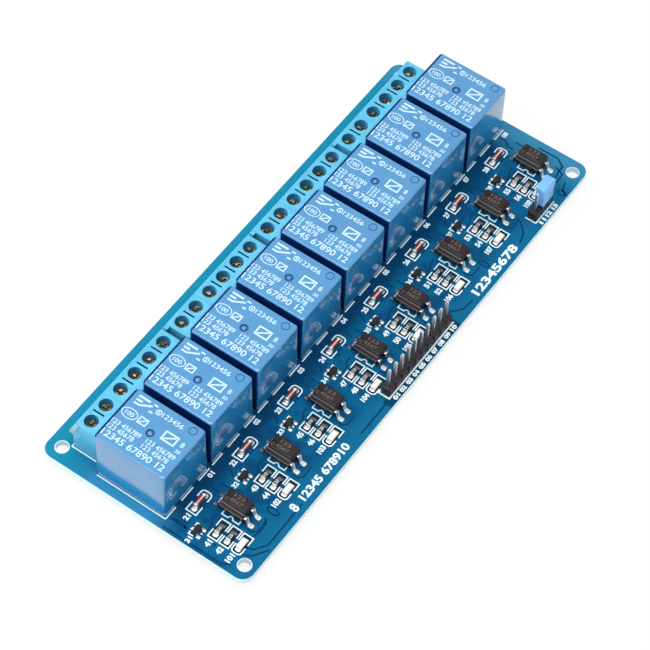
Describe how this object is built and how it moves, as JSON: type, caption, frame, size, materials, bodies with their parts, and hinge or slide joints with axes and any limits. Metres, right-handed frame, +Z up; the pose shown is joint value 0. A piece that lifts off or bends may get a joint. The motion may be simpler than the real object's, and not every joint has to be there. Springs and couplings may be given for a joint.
{
  "type": "relay module board",
  "caption": "Long blue circuit board with a row of relays, screw terminals along one edge, driver circuits and two pin headers along the other.",
  "frame": {"origin": "centre of the four mounting holes, at the board's underside", "axes": "+X from the screw terminals to the pin headers, +Y along the relay row from channel 1 to channel 8, +Z up out of the component side"},
  "size_m": [0.0557, 0.138, 0.0189],
  "materials": {
    "board": "glossy blue solder mask over glass-epoxy laminate",
    "relay_blue": "satin moulded plastic, blue",
    "terminal_blue": "glossy moulded plastic, light blue",
    "base_plastic": "matt moulded plastic, black",
    "bobbin_plastic": "matt moulded plastic, off-white",
    "copper_wire": "enamelled copper wire, wound",
    "iron": "plated soft iron",
    "spring_bronze": "rolled bronze strip",
    "contact_brass": "rolled brass strip with silver buttons",
    "tinned_wire": "bright tinned metal",
    "screw_steel": "yellow zinc-plated steel",
    "clamp_steel": "zinc-plated steel",
    "black_epoxy": "matt moulded epoxy, black",
    "lead_metal": "bright tinned lead frame",
    "diode_glass": "amber glass sleeve",
    "chip_black": "matt film over ceramic, black",
    "lamp_lens": "clear to cream cast lens",
    "header_black": "matt moulded plastic, black",
    "header_pin": "tinned brass, square drawn",
    "jumper_blue": "glossy moulded plastic, light blue",
    "solder": "bright solder"
  },
  "bodies": {
    "board": {"circuit_board": "board", "relay_case_1": "relay_blue", "relay_case_2": "relay_blue", "relay_case_3": "relay_blue", "relay_case_4": "relay_blue", "relay_case_5": "relay_blue", "relay_case_6": "relay_blue", "relay_case_7": "relay_blue", "relay_case_8": "relay_blue", "relay_bases": "base_plastic", "coil_bobbins": "bobbin_plastic", "coil_windings": "copper_wire", "coil_cores": "iron", "yokes": "iron", "coil_pins": "tinned_wire", "common_pins": "contact_brass", "fixed_contacts": "contact_brass", "terminal_block_1": "terminal_blue", "terminal_block_2": "terminal_blue", "terminal_block_3": "terminal_blue", "terminal_block_4": "terminal_blue", "terminal_block_5": "terminal_blue", "terminal_block_6": "terminal_blue", "terminal_block_7": "terminal_blue", "terminal_block_8": "terminal_blue", "terminal_screws": "screw_steel", "wire_clamps": "clamp_steel", "terminal_pins": "tinned_wire", "coupler_bodies": "black_epoxy", "coupler_leads": "lead_metal", "diode_glass": "diode_glass", "diode_caps": "lead_metal", "transistor_bodies": "black_epoxy", "transistor_leads": "lead_metal", "resistor_bodies": "chip_black", "lamp_chips": "lamp_lens", "chip_ends": "lead_metal", "control_header_strip": "header_black", "control_header_pins": "header_pin", "supply_header_strip": "header_black", "supply_header_pins": "header_pin", "solder_joints": "solder"},
    "relay_armature_1": {"armature_1": "iron", "contact_blade_1": "spring_bronze"},
    "relay_armature_2": {"armature_2": "iron", "contact_blade_2": "spring_bronze"},
    "relay_armature_3": {"armature_3": "iron", "contact_blade_3": "spring_bronze"},
    "relay_armature_4": {"armature_4": "iron", "contact_blade_4": "spring_bronze"},
    "relay_armature_5": {"armature_5": "iron", "contact_blade_5": "spring_bronze"},
    "relay_armature_6": {"armature_6": "iron", "contact_blade_6": "spring_bronze"},
    "relay_armature_7": {"armature_7": "iron", "contact_blade_7": "spring_bronze"},
    "relay_armature_8": {"armature_8": "iron", "contact_blade_8": "spring_bronze"},
    "jumper": {"jumper_cap": "jumper_blue", "jumper_clip": "contact_brass"}
  },
  "joints": [
    {"name": "armature_1_tip", "type": "hinge", "parent": "board", "child": "relay_armature_1", "pos_m": [0.00254, -0.05866, 0.0131], "axis": [0, 1, 0], "range_deg": [-2.4, 0], "stiffness_Nm_per_rad": 0.005, "springref_deg": 6.88},
    {"name": "armature_2_tip", "type": "hinge", "parent": "board", "child": "relay_armature_2", "pos_m": [0.00254, -0.0419, 0.0131], "axis": [0, 1, 0], "range_deg": [-2.4, 0], "stiffness_Nm_per_rad": 0.005, "springref_deg": 6.88},
    {"name": "armature_3_tip", "type": "hinge", "parent": "board", "child": "relay_armature_3", "pos_m": [0.00254, -0.02514, 0.0131], "axis": [0, 1, 0], "range_deg": [-2.4, 0], "stiffness_Nm_per_rad": 0.005, "springref_deg": 6.88},
    {"name": "armature_4_tip", "type": "hinge", "parent": "board", "child": "relay_armature_4", "pos_m": [0.00254, -0.00838, 0.0131], "axis": [0, 1, 0], "range_deg": [-2.4, 0], "stiffness_Nm_per_rad": 0.005, "springref_deg": 6.88},
    {"name": "armature_5_tip", "type": "hinge", "parent": "board", "child": "relay_armature_5", "pos_m": [0.00254, 0.00838, 0.0131], "axis": [0, 1, 0], "range_deg": [-2.4, 0], "stiffness_Nm_per_rad": 0.005, "springref_deg": 6.88},
    {"name": "armature_6_tip", "type": "hinge", "parent": "board", "child": "relay_armature_6", "pos_m": [0.00254, 0.02514, 0.0131], "axis": [0, 1, 0], "range_deg": [-2.4, 0], "stiffness_Nm_per_rad": 0.005, "springref_deg": 6.88},
    {"name": "armature_7_tip", "type": "hinge", "parent": "board", "child": "relay_armature_7", "pos_m": [0.00254, 0.0419, 0.0131], "axis": [0, 1, 0], "range_deg": [-2.4, 0], "stiffness_Nm_per_rad": 0.005, "springref_deg": 6.88},
    {"name": "armature_8_tip", "type": "hinge", "parent": "board", "child": "relay_armature_8", "pos_m": [0.00254, 0.05866, 0.0131], "axis": [0, 1, 0], "range_deg": [-2.4, 0], "stiffness_Nm_per_rad": 0.005, "springref_deg": 6.88},
    {"name": "jumper_pull", "type": "slide", "parent": "board", "child": "jumper", "axis": [0, 0, 1], "range_m": [0, 0.009]}
  ]
}
